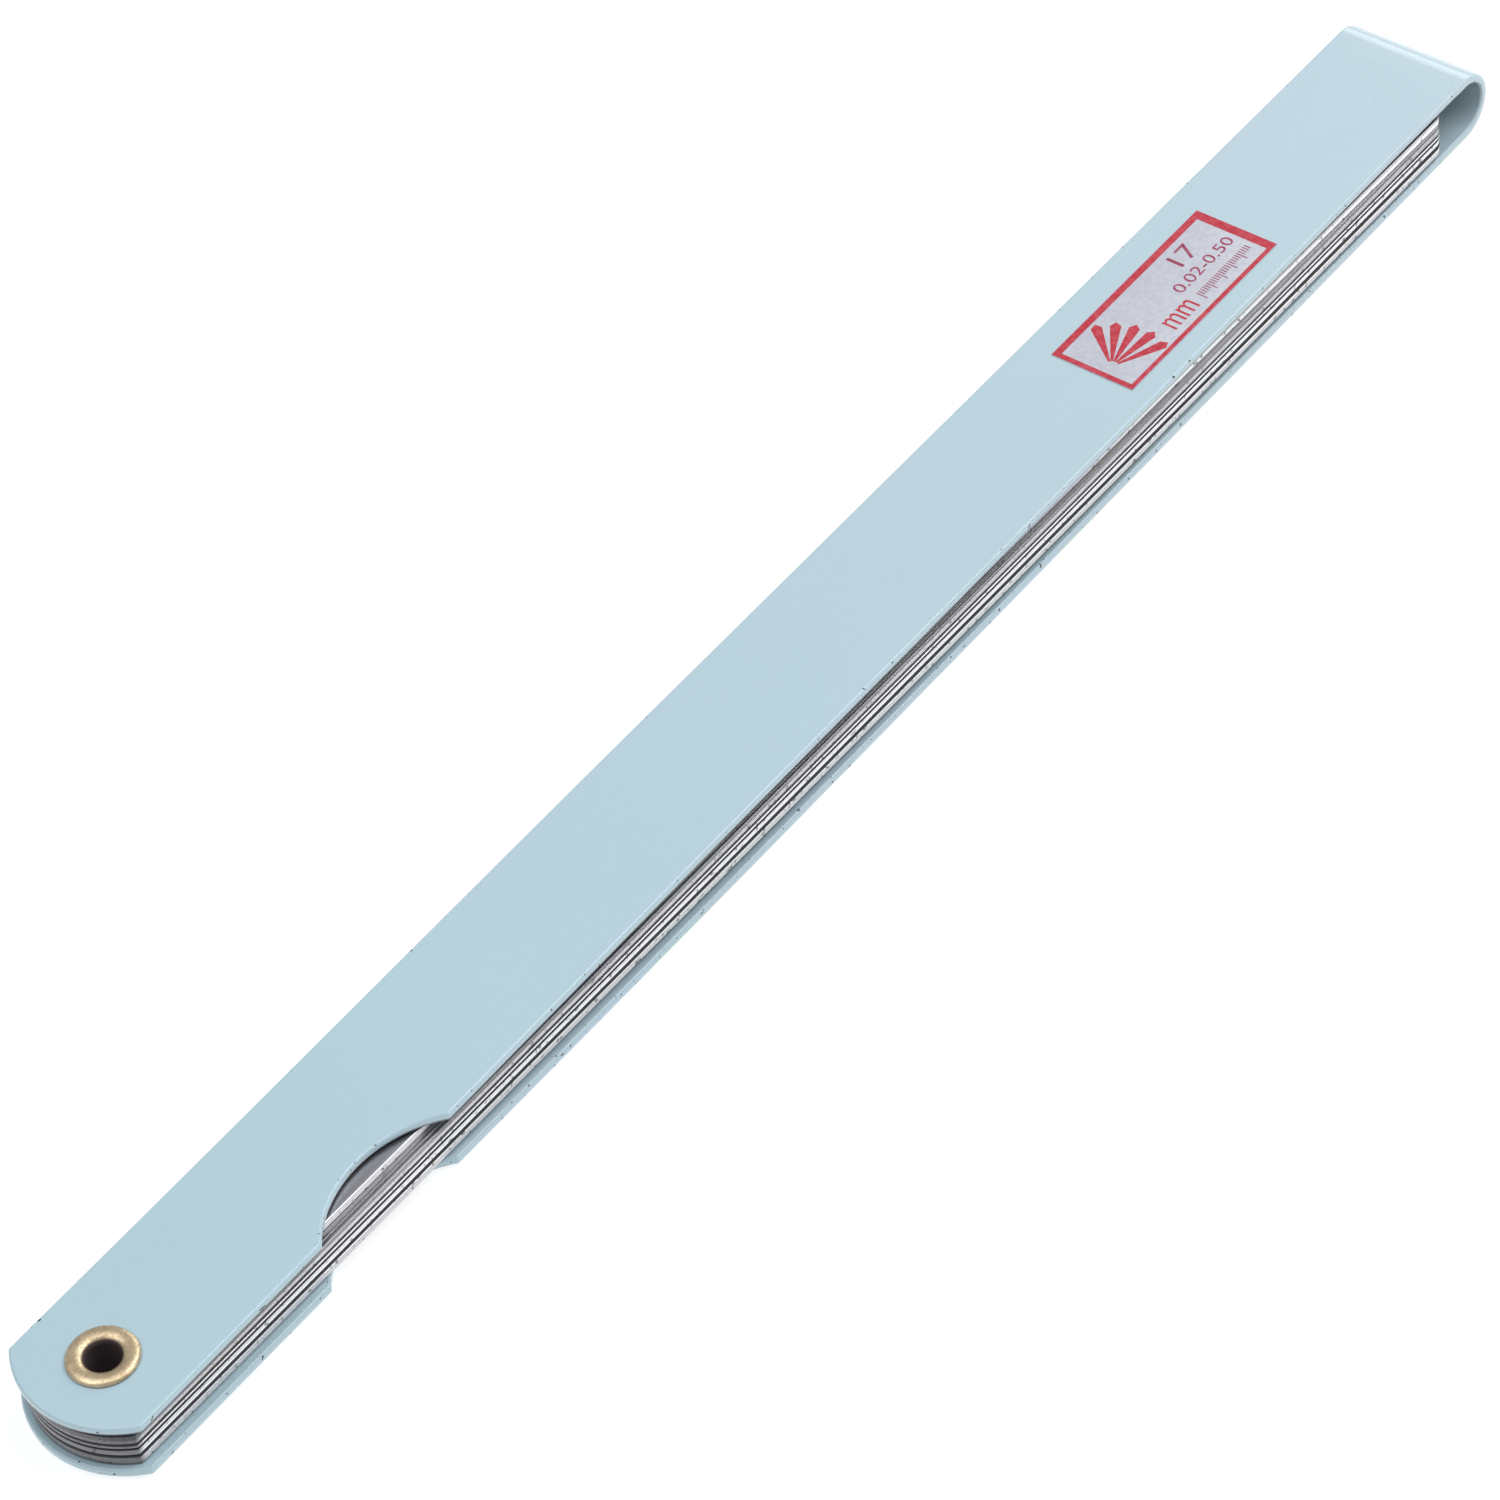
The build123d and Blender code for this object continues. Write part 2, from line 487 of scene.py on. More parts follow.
@dataclass(frozen=True)
class Enamel:
    """Pale blue enamel with a soft orange peel, dust specks, small chips at cut edges and painted light
    and shade.
    """

    body: Colour = (0.395, 0.535, 0.590, 1.0)
    tint: Colour = (0.410, 0.550, 0.608, 1.0)
    # Lighter and whiter, painted as a sheen towards the fold end.
    fold_end_sheen: Colour = (0.445, 0.560, 0.612, 1.0)
    # Dark for the chips and specks, and for painted shade.
    chip_and_shade: Colour = (0.030, 0.040, 0.048, 1.0)
    peel_scale: float = 1500.0
    chip_scale: float = 2600.0
    speck_scale: float = 260.0

    def material(self) -> Material:
        """Makes the enamel.

        Returns:
            Its material.
        """
        shader = ShaderBuilder("powder_blue_enamel")
        cloud = shader.span(shader.noise(45.0, 1.0), 0.2, 0.8)
        colour = shader.blend(cloud, self.body, self.tint)
        # Painted sheen: the enamel is painted lighter and whiter from 20 mm on to the fold end, in place
        # of its brighter gloss there.
        along = shader.axis(0)
        colour = shader.blend(shader.span(along, 20 * MM, 150 * MM), colour, self.fold_end_sheen)
        edge = shader.attribute("inset")
        near_edge = shader.span(edge, 0.27 * MM, 0.0)
        chips = shader.noise(self.chip_scale, 1.0)
        patches = shader.noise(150.0, 1.0)
        chance = shader.plus(shader.times(near_edge, 0.05), shader.span(patches, 0.5, 0.75, 0.0, 0.06))
        chipped = shader.span(shader.plus(chips, chance), 0.765, 0.785)
        chipped = shader.times(chipped, shader.math("GREATER_THAN", near_edge, 0.02))
        cells = shader.add("ShaderNodeTexVoronoi", {"Vector": shader.place, "Scale": self.speck_scale})
        draw = shader.add("ShaderNodeSeparateColor", {0: cells.outputs["Color"]}).outputs[0]
        radius = shader.span(draw, 0.80, 1.0, 0.0, 0.030)
        speck = shader.math("LESS_THAN", cells.outputs["Distance"], radius)
        dark = shader.larger(chipped, shader.times(speck, 0.55))
        # Painted shade: the upper cover's inner rim is painted nearly black, in place of the shadow in
        # the slot between it and the leaves.
        gap = shader.attribute("gap_shade")
        dark = shader.larger(dark, shader.span(gap, 0.80, 1.0, 0.0, 0.88))
        # Painted shade: the covers' inner faces are darkened, fully under the upper cover and fading out
        # through the fold towards the lower cover.
        inner = shader.attribute("inner_side")
        above = shader.axis(2)
        inner_shade = shader.times(inner, shader.span(above, -1.4 * MM, 1.4 * MM))
        dark = shader.larger(dark, shader.times(inner_shade, 0.62))
        # The chips and dust specks are the enamel's own; the darkening of the gap and of the inner faces
        # blended in with them is painted shade.
        colour = shader.blend(dark, colour, self.chip_and_shade)
        peel = shader.bump(shader.noise(self.peel_scale, 1.0), 1.2 * MICRON)
        ripple = shader.bump(shader.noise(160.0, 1.0), 6 * MICRON, peel)
        return shader.finish(
            Base_Color=colour,
            Roughness=shader.span(shader.noise(400.0), 0.1, 0.9, 0.22, 0.36),
            Normal=ripple,
            IOR=1.5,
            Coat_Weight=0.35,
            Coat_Roughness=0.06,
        )


@dataclass(frozen=True)
class GroundSteel:
    """Bright spring steel with grinding lines along its length and faint handling marks, and with painted
    light and shade on its edges, faces and rounded rims.
    """

    light: Colour = (0.50, 0.490, 0.510, 1.0)
    dark: Colour = (0.385, 0.375, 0.395, 1.0)
    # Near-white, partly a painted reflection of the bright floor on the edge walls.
    edge: Colour = (0.93, 0.93, 0.95, 1.0)
    # Black for painted shade on edges, faces and rims.
    painted_shade: Colour = (0.012, 0.012, 0.014, 1.0)

    def material(self) -> Material:
        """Makes the steel.

        Returns:
            Its material.
        """
        shader = ShaderBuilder("ground_spring_steel")
        lines = shader.noise(1.0, 4.0, shader.stretched(60.0, 9000.0, 9000.0))
        smear = shader.noise(110.0, 3.0)
        tone = shader.plus(shader.times(lines, 0.6), shader.times(smear, 0.4))
        colour = shader.blend(shader.span(tone, 0.35, 0.65), self.dark, self.light)
        inset = shader.attribute("inset")
        groove = shader.attribute("groove")
        tone_mark = shader.attribute("edge_tone")
        face_tone = shader.attribute("face_tone")
        # Painted shade: a face tone below 1 darkens a leaf's faces towards black.
        colour = shader.blend(face_tone, self.painted_shade, colour)
        # The edge walls are painted near-white and mostly non-metallic: partly the bright ground edge,
        # partly a painted reflection of the bright floor. Each leaf's edge tone paints shade on them
        # towards black; the flecks are real dark specks.
        wall = shader.span(inset, 0.010 * MM, 0.0)
        fleck = shader.span(shader.noise(2200.0, 3.0), 0.33, 0.39, 0.25, 1.0)
        along = shader.axis(0)
        # Painted shade: the edges are darker round the pivot end, under the covers' rounded end.
        pivot_end_shade = shader.span(along, -2.9 * MM, -2.4 * MM, 0.22, 1.0)
        tone_mark = shader.times(shader.times(tone_mark, fleck), pivot_end_shade)
        edge = shader.blend(tone_mark, self.painted_shade, self.edge)
        colour = shader.blend(wall, colour, edge)
        # Painted shade: the rounded rims, where the leaves meet, are painted black and made less
        # metallic, in place of the shade in the gaps between leaves.
        painted_shade = shader.span(groove, 0.02 * MM, 0.055 * MM)
        colour = shader.blend(painted_shade, colour, self.painted_shade)
        return shader.finish(
            Base_Color=colour,
            # Metallic is lowered on the painted shade in the rims and on the edge walls' painted
            # reflection.
            Metallic=shader.span(shader.larger(painted_shade, shader.times(wall, 0.9)), 0, 1, 1.0, 0.2),
            Roughness=shader.span(tone, 0.3, 0.7, 0.22, 0.38),
            Normal=shader.bump(lines, 0.8 * MICRON),
        )


@dataclass(frozen=True)
class WornBrass:
    """Dull gold brass, mottled all over, with painted shade in its hole and a painted contact shadow
    round each flange's foot.
    """

    bright: Colour = (0.76, 0.62, 0.40, 1.0)
    dull: Colour = (0.50, 0.375, 0.235, 1.0)
    # Dark for painted shade in the hole and round each flange's foot.
    shade_colour: Colour = (0.062, 0.040, 0.041, 1.0)
    cover_z: float = 2.475 * MM

    def material(self) -> Material:
        """Makes the brass.

        Returns:
            Its material.
        """
        shader = ShaderBuilder("worn_brass")
        mottle = shader.noise(900.0, 4.0)
        grain = shader.noise(5200.0, 2.0)
        tone = shader.plus(shader.times(mottle, 0.55), shader.times(grain, 0.45))
        colour = shader.blend(shader.span(tone, 0.37, 0.60), self.dull, self.bright)
        flat = shader.stretched(1.0, 1.0, 0.0)
        radius = shader.add("ShaderNodeVectorMath", {0: flat}, operation="LENGTH").outputs["Value"]
        # Painted shade: the bore and the hole at the covers' level are painted dark, matt and
        # non-metallic, in place of the shade inside them.
        inside = shader.span(radius, 1.44 * MM, 1.31 * MM)
        level = shader.math("ABSOLUTE", shader.axis(2))
        deep = shader.span(level, self.cover_z + 0.08 * MM, self.cover_z - 0.02 * MM)
        deep = shader.times(deep, shader.math("LESS_THAN", radius, 1.7 * MM))
        inside = shader.larger(inside, deep)
        # Painted shadow: a patchy dark ring at the foot of each flange, where it sits on the cover.
        foot = shader.span(level, self.cover_z + 0.10 * MM, self.cover_z + 0.02 * MM)
        foot = shader.times(foot, shader.span(mottle, 0.40, 0.52, 0.35, 1.0))
        colour = shader.blend(shader.larger(inside, foot), colour, self.shade_colour)
        return shader.finish(
            Base_Color=colour,
            Metallic=shader.span(inside, 0.0, 1.0, 1.0, 0.0),
            Roughness=shader.larger(shader.span(tone, 0.35, 0.65, 0.50, 0.30), inside),
            Normal=shader.bump(grain, 16 * MICRON, shader.bump(mottle, 20 * MICRON)),
        )


@dataclass(frozen=True)
class Foil:
    """Silvery lilac label foil with a fine speckle."""

    light: Colour = (0.535, 0.545, 0.590, 1.0)
    dark: Colour = (0.480, 0.490, 0.545, 1.0)

    def material(self) -> Material:
        """Makes the foil.

        Returns:
            Its material.
        """
        shader = ShaderBuilder("label_foil")
        speckle = shader.noise(3000.0, 3.0)
        colour = shader.blend(shader.span(speckle, 0.4, 0.6), self.dark, self.light)
        return shader.finish(
            Base_Color=colour,
            Metallic=0.15,
            Roughness=0.42,
            Normal=shader.bump(speckle, 1.5 * MICRON),
        )


@dataclass(frozen=True)
class Ink:
    """Printed ink whose cover is a little uneven."""

    name: str
    full: Colour
    thin: Colour

    def material(self) -> Material:
        """Makes the ink.

        Returns:
            Its material.
        """
        shader = ShaderBuilder(self.name)
        cover = shader.noise(2600.0, 3.0)
        colour = shader.blend(shader.span(cover, 0.42, 0.66), self.full, self.thin)
        return shader.finish(Base_Color=colour, Roughness=0.45, Normal=shader.bump(cover, 2 * MICRON))


CRIMSON = Ink("crimson_ink", (0.43, 0.014, 0.032, 1.0), (0.50, 0.055, 0.080, 1.0))
MAROON = Ink("maroon_ink", (0.27, 0.026, 0.072, 1.0), (0.35, 0.075, 0.130, 1.0))
ETCHING = Ink("etched_black", (0.012, 0.012, 0.014, 1.0), (0.05, 0.05, 0.055, 1.0))


# ---- flat blanks


def arc(centre: Vector, radius: float, start: float, end: float, steps: int) -> list[Vector]:
    """Returns points along an arc, both ends included; angles are in radians."""
    angles = [start + (end - start) * step / steps for step in range(steps + 1)]
    return [centre + Vector((math.cos(a), math.sin(a))) * radius for a in angles]


def rounded_corner(
    before: Vector, corner: Vector, after: Vector, radius: float, steps: int = 6
) -> list[Vector]:
    """Rounds one corner of an outline.

    Args:
        before: The point before the corner.
        corner: The corner itself.
        after: The point after the corner.
        radius: The rounding's radius.
        steps: How many chords the rounding has.

    Returns:
        The points that replace the corner.
    """
    back = (before - corner).normalized()
    ahead = (after - corner).normalized()
    half = back.angle(ahead) / 2
    centre = corner + (back + ahead).normalized() * radius / math.sin(half)
    first = corner + back * radius / math.tan(half)
    last = corner + ahead * radius / math.tan(half)
    turn = (first - centre).angle_signed(last - centre)
    start = math.atan2(first.y - centre.y, first.x - centre.x)
    return arc(centre, radius, start, start - turn, steps)


def subdivided(loop: Sequence[Vector], step: float) -> list[Vector]:
    """Adds points to a closed loop.

    Args:
        loop: The loop.
        step: About how long its longest chord may be.

    Returns:
        The loop with its new points.
    """
    points = []
    for here, there in zip(loop, [*loop[1:], loop[0]]):
        parts = max(1, math.ceil((there - here).length / step - 1e-6))
        points += [here.lerp(there, part / parts) for part in range(parts)]
    return points


def inset_loop(loop: Sequence[Vector], inset: float) -> list[Vector]:
    """Moves an anticlockwise closed loop inwards.

    Args:
        loop: The loop.
        inset: How far it moves.

    Returns:
        The moved loop, with as many points.
    """
    moved = []
    for place, here in enumerate(loop):
        back = (here - loop[place - 1]).normalized()
        ahead = (loop[(place + 1) % len(loop)] - here).normalized()
        normals = [Vector((-side.y, side.x)) for side in (back, ahead)]
        middle = (normals[0] + normals[1]).normalized()
        moved.append(here + middle * inset / max(middle.dot(normals[0]), 0.5))
    return moved


def contains(loop: Sequence[Vector], point: Vector, margin: float) -> bool:
    """Tells whether a point lies well inside a closed loop.

    Args:
        loop: The loop.
        point: The point.
        margin: How far from every chord it has to be.

    Returns:
        Whether it does.
    """
    inside = False
    for here, there in zip(loop, [*loop[1:], loop[0]]):
        if (here.y > point.y) != (there.y > point.y):
            cross = here.x + (point.y - here.y) * (there.x - here.x) / (there.y - here.y)
            inside = inside != (cross > point.x)
        along = max(0.0, min(1.0, (point - here).dot(there - here) / (there - here).length_squared))
        if (here.lerp(there, along) - point).length < margin:
            return False
    return inside


@dataclass
class Blank:
    """A flat plate's outline and round holes, ready to be meshed at Z 0."""

    outline: list[Vector]
    holes: list[tuple[Vector, float]]
    insets: tuple[float, ...]
    grid: list[Vector]
    hole_steps: int = 64

    def rings(self) -> list[list[list[Vector]]]:
        """Finds the loops that the rims are meshed from.

        Returns:
            For the outline and each hole, its loop at every inset.
        """
        families = [[inset_loop(self.outline, inset) for inset in self.insets]]
        for centre, radius in self.holes:
            circles = [arc(centre, radius + inset, 0, math.tau, self.hole_steps) for inset in self.insets]
            families.append([circle[:-1] for circle in circles])
        return families

    def mesh(self, name: str) -> Mesh:
        """Meshes the blank with quads round its rims and triangles between them.

        Args:
            name: The mesh's name.

        Returns:
            A flat mesh facing +Z, with each point's distance from a rim as the attribute inset.
        """
        shape = bmesh.new()
        depth = shape.verts.layers.float.new("inset")
        inner: list[list[BMVert]] = []
        for family in self.rings():
            rows = [[shape.verts.new((point.x, point.y, 0)) for point in ring] for ring in family]
            for row, inset in zip(rows, self.insets):
                for vert in row:
                    vert[depth] = inset
            for outer_row, inner_row in zip(rows, rows[1:]):
                for place, outer in enumerate(outer_row):
                    ahead = (place + 1) % len(outer_row)
                    shape.faces.new((outer, outer_row[ahead], inner_row[ahead], inner_row[place]))
            inner.append(rows[-1])
        self._fill(shape, depth, inner)
        for face in shape.faces:
            face.normal_update()
            if face.normal.z < 0:
                face.normal_flip()
        return from_bmesh(name, shape)

    def _fill(self, shape: bmesh.types.BMesh, depth: Any, inner: list[list[BMVert]]) -> None:
        """Fills the space between the innermost rings with triangles.

        Args:
            shape: The mesh being built.
            depth: Its layer for the distance from a rim.
            inner: The innermost ring of the outline, then of each hole.
        """
        verts = [vert for row in inner for vert in row]
        edges = []
        first = 0
        for row in inner:
            edges += [(first + place, first + (place + 1) % len(row)) for place in range(len(row))]
            first += len(row)
        loop = [Vector(vert.co.xy) for vert in inner[0]]
        for point in (point for point in self.grid if self._is_free(loop, point)):
            vert = shape.verts.new((point.x, point.y, 0))
            vert[depth] = self.insets[-1]
            verts.append(vert)
        plan = [Vector(vert.co.xy) / MM for vert in verts]
        found = delaunay_2d_cdt(plan, edges, [], 1, 1e-7)
        source = [origins[0] for origins in found[3]]
        for corners in found[2]:
            centre = sum((found[0][corner] for corner in corners), Vector((0, 0))) / len(corners)
            if all((centre * MM - middle).length > radius for middle, radius in self.holes):
                shape.faces.new([verts[source[corner]] for corner in corners])

    def _is_free(self, loop: Sequence[Vector], point: Vector) -> bool:
        """Tells whether a grid point is clear of every rim.

        Args:
            loop: The innermost loop of the outline.
            point: The point.

        Returns:
            Whether it is.
        """
        clear = self.insets[-1] + GRID_MARGIN
        in_hole = any((point - middle).length < radius + clear for middle, radius in self.holes)
        return not in_hole and contains(loop, point, GRID_MARGIN)


def rectangle(west: float, east: float, south: float, north: float) -> Plan:
    """Returns a rectangle's corners, anticlockwise from the south-west."""
    return [(west, south), (east, south), (east, north), (west, north)]


def grid_points(columns: Iterable[float], rows: Iterable[float]) -> list[Vector]:
    """Returns a grid of flat points."""
    lines = list(rows)
    return [Vector((x, y)) for x in columns for y in lines]


def steps_between(low: float, high: float, step: float) -> list[float]:
    """Returns evenly spaced values from low to high, both included, about step apart."""
    parts = max(1, round((high - low) / step))
    return [low + (high - low) * part / parts for part in range(parts + 1)]


# ---- the case


class Cover(Enum):
    """The two covers of the folded strip, with the side of the middle plane each is on."""

    UPPER = 1
    LOWER = -1


@dataclass
class FoldedCase:
    """The steel strip that is folded over the leaves, with its enamel."""

    width: float = 11.4 * MM
    sheet: float = 0.7 * MM
    height: float = 5.6 * MM
    pivot_height: float = 4.95 * MM
    fold_end_x: float = 150.7 * MM
    end_radius: float = 7.7 * MM
    end_centre_x: float = 2.38 * MM
    flare_start_x: float = 5.0 * MM
    flare_end_x: float = 65.0 * MM
    notch_start_x: float = 14.7 * MM
    notch_end_x: float = 27.6 * MM
    notch_depth: float = 2.5 * MM
    hole_radius: float = 1.67 * MM
    corner_radius: float = 0.30 * MM
    rim_width: float = 0.20 * MM
    rim_depth: float = 0.22 * MM
    wave_depth: float = 0.020 * MM
    wave_scale: float = 38.0
    bend_step: float = 0.25 * MM
    edge_step: float = 1.5 * MM
    # How far in from the rim the painted shade under the upper cover reaches, as a share of the rim's
    # width.
    gap_shade_reach: float = 1.05
    wall_reach: float = 0.02 * MM
    inset_steps: tuple[float, ...] = (0.0, 0.008, 0.03, 0.07, 0.13, 0.20, 0.22, 0.27)

    @property
    def fold_x(self) -> float:
        """Where the fold starts, on both covers."""
        return self.fold_end_x - self.height / 2

    @property
    def fold_radius(self) -> float:
        """The fold's radius at the middle of the sheet."""
        return (self.height - self.sheet) / 2

    def notch_arc(self) -> list[Vector]:
        """Plots the thumb notch.

        Returns:
            Its arc, from the pivot side to the fold side.
        """
        half = (self.notch_end_x - self.notch_start_x) / 2
        radius = (half**2 + self.notch_depth**2) / (2 * self.notch_depth)
        middle = (self.notch_start_x + self.notch_end_x) / 2
        centre = Vector((middle, self.notch_depth - self.width / 2 - radius))
        spread = math.asin(half / radius)
        return arc(centre, radius, math.pi / 2 + spread, math.pi / 2 - spread, 40)

    def cover_outline(self) -> list[Vector]:
        """Plots one cover.

        Returns:
            Its open outline, anticlockwise from the fold's +Y side to its -Y side.
        """
        half = self.width / 2
        spread = math.asin(half / self.end_radius)
        centre = Vector((self.end_centre_x, 0))
        end = arc(centre, self.end_radius, math.pi - spread, math.pi + spread, 40)
        notch = self.notch_arc()
        start = Vector((self.fold_x, half))
        finish = Vector((self.fold_x, -half))
        points = [start]
        points += rounded_corner(start, end[0], end[1], self.corner_radius)
        points += end[1:-1]
        points += rounded_corner(end[-2], end[-1], notch[0], self.corner_radius)
        points += rounded_corner(end[-1], notch[0], notch[1], self.corner_radius)
        points += notch[1:-1]
        points += rounded_corner(notch[-2], notch[-1], finish, self.corner_radius)
        return [*points, finish]

    def blank(self) -> Blank:
        """Unrolls the strip.

        Returns:
            The strip before it is folded, with its middle at X 0 and the upper cover on +X.
        """
        fold_half = math.pi * self.fold_radius / 2
        pivot = fold_half + self.fold_x
        upper = [Vector((pivot - point.x, point.y)) for point in reversed(self.cover_outline())]
        lower = [Vector((-point.x, point.y)) for point in reversed(upper)]
        outline = self._finer_fold(subdivided([*upper, *lower], self.edge_step), fold_half)
        bend = steps_between(-fold_half, fold_half, self.bend_step)
        flat = steps_between(fold_half, pivot + self.end_radius, 2.5 * MM)[1:]
        columns = [*bend, *flat, *[-x for x in flat]]
        rows = steps_between(-self.width / 2, self.width / 2, 1.4 * MM)[1:-1]
        holes = [(Vector((side.value * pivot, 0)), self.hole_radius) for side in Cover]
        insets = tuple(step * MM for step in self.inset_steps)
        return Blank(outline, holes, insets, grid_points(columns, rows))

    def _finer_fold(self, outline: list[Vector], fold_half: float) -> list[Vector]:
        """Shortens the outline's chords where the strip bends.

        Args:
            outline: The outline.
            fold_half: Where the bend ends, to either side of X 0.

        Returns:
            The outline with its new points.
        """
        points = []
        for here, there in zip(outline, [*outline[1:], outline[0]]):
            bends = abs(here.x + there.x) / 2 < fold_half
            parts = math.ceil((there - here).length / self.bend_step) if bends else 1
            points += [here.lerp(there, part / parts) for part in range(parts)]
        return points

    def tree(self) -> GeometryTree:
        """Makes the tree that thickens the blank, folds it and waves its sheet a little.

        Returns:
            The tree.
        """
        tree = GeometryTree("fold_strip")
        thickness = tree.size("Thickness", self.sheet)
        rim_width = tree.size("Rim Width", self.rim_width)
        rim_depth = tree.size("Rim Depth", self.rim_depth)
        plate = tree.thicken(thickness, rim_width, rim_depth, rim_depth)
        along, across, above = tree.axes()
        half_sheet = tree.times(thickness, 0.5)
        radius = tree.size("Fold Radius", self.fold_radius)
        fold_half = tree.times(radius, math.pi / 2)
        inset = tree.read("inset")
        inner_side = tree.math("LESS_THAN", above, half_sheet)
        upper_cover = tree.math("GREATER_THAN", along, fold_half)
        # This mask marks the upper cover's inner rim, which the enamel paints dark as shade.
        rim = tree.math("LESS_THAN", inset, tree.times(rim_width, self.gap_shade_reach))
        plate = tree.mark(plate, "gap_shade", tree.times(tree.times(inner_side, upper_cover), rim))
        # inner_side marks the covers' inner faces, off their walls, which the enamel darkens as painted
        # shade.
        off_wall = tree.math("GREATER_THAN", inset, self.wall_reach)
        plate = tree.mark(plate, "inner_side", tree.times(inner_side, off_wall))
        flat = tree.vector(along, across)
        inputs = {"Vector": flat, "Scale": tree.size("Wave Scale", self.wave_scale), "Detail": 1.0}
        noise = tree.add("ShaderNodeTexNoise", inputs).outputs[0]
        wave = tree.times(tree.minus(noise, 0.5), tree.size("Wave Depth", self.wave_depth))
        reach = tree.plus(radius, tree.plus(tree.minus(above, half_sheet), wave))
        side = tree.math("SIGN", along)
        length = tree.math("ABSOLUTE", along)
        bent = tree.math("MINIMUM", length, fold_half)
        angle = tree.math("DIVIDE", tree.times(bent, side), radius)
        x = tree.minus(tree.size("Fold X", self.fold_x), tree.minus(length, bent))
        flare = tree.size("Flare Start", self.flare_start_x), tree.size("Flare End", self.flare_end_x)
        lift = tree.size("Pivot Lift", (self.height - self.pivot_height) / 2)
        drop = tree.times(lift, tree.minus(1.0, tree.ease(x, *flare)))
        new_x = tree.plus(x, tree.times(reach, tree.math("COSINE", angle)))
        new_z = tree.minus(tree.times(reach, tree.math("SINE", angle)), tree.times(side, drop))
        return tree.finish(tree.move(plate, new_x, across, new_z))

    def build(self) -> None:
        """Builds, dresses and settles the case in place of its covers and fold."""
        blank = self.blank().mesh("case_blank")
        piece = grow("folded_case", self.tree(), blank, Enamel().material())
        settle(piece, HOLDER, "enamel", "upper_cover", "lower_cover", "cover_fold")


# ---- the eyelet


